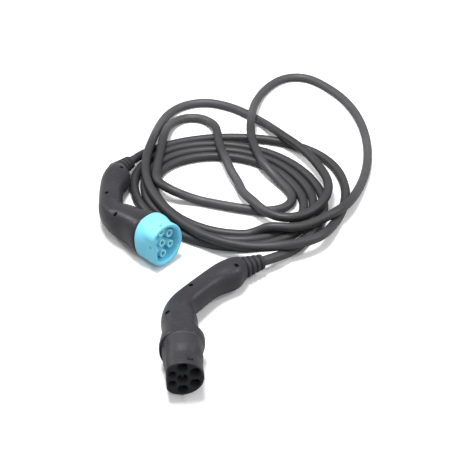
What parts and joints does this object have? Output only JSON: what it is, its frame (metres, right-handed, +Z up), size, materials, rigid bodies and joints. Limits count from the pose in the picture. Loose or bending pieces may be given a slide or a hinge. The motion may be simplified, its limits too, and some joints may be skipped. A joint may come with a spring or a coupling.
{
  "type": "ev charging cable",
  "caption": "Loosely coiled charging cable for an electric car, with a black station plug and a vehicle connector with a blue front.",
  "frame": {"origin": "point on the floor below the centre of the two handles' common box", "axes": "+Z up from the floor, +X to the right and +Y away from the viewer of the picture"},
  "size_m": [0.4265, 0.7838, 0.0672],
  "materials": {
    "handle_black": "satin moulded, fine grain",
    "nose_black": "satin moulded",
    "insert_black": "matte",
    "nose_blue": "satin moulded",
    "carrier_blue": "matte",
    "seal_rubber": "matte",
    "boot_rubber": "matte, slightly soft",
    "screw_steel": "dark zinc",
    "contact_silver": "silver plated",
    "cable_jacket": "soft sheen"
  },
  "bodies": {
    "root": {"plug_shell_upper": "handle_black", "plug_shell_lower": "handle_black", "plug_screws": "screw_steel", "plug_housing": "nose_black", "plug_seal": "seal_rubber", "plug_insert": "insert_black", "plug_pin_holder": "insert_black", "plug_earth_pin": "contact_silver", "plug_power_pins": "contact_silver", "plug_signal_pins": "contact_silver", "plug_boot": "boot_rubber", "connector_shell_upper": "handle_black", "connector_shell_lower": "handle_black", "connector_screws": "screw_steel", "connector_housing": "nose_blue", "connector_seal": "seal_rubber", "connector_carrier": "carrier_blue", "connector_earth_socket": "contact_silver", "connector_power_sockets": "contact_silver", "connector_signal_sockets": "contact_silver", "connector_boot": "boot_rubber", "cable_coil": "cable_jacket", "cable_plug_lead": "cable_jacket", "cable_loose_run": "cable_jacket"}
  },
  "joints": []
}
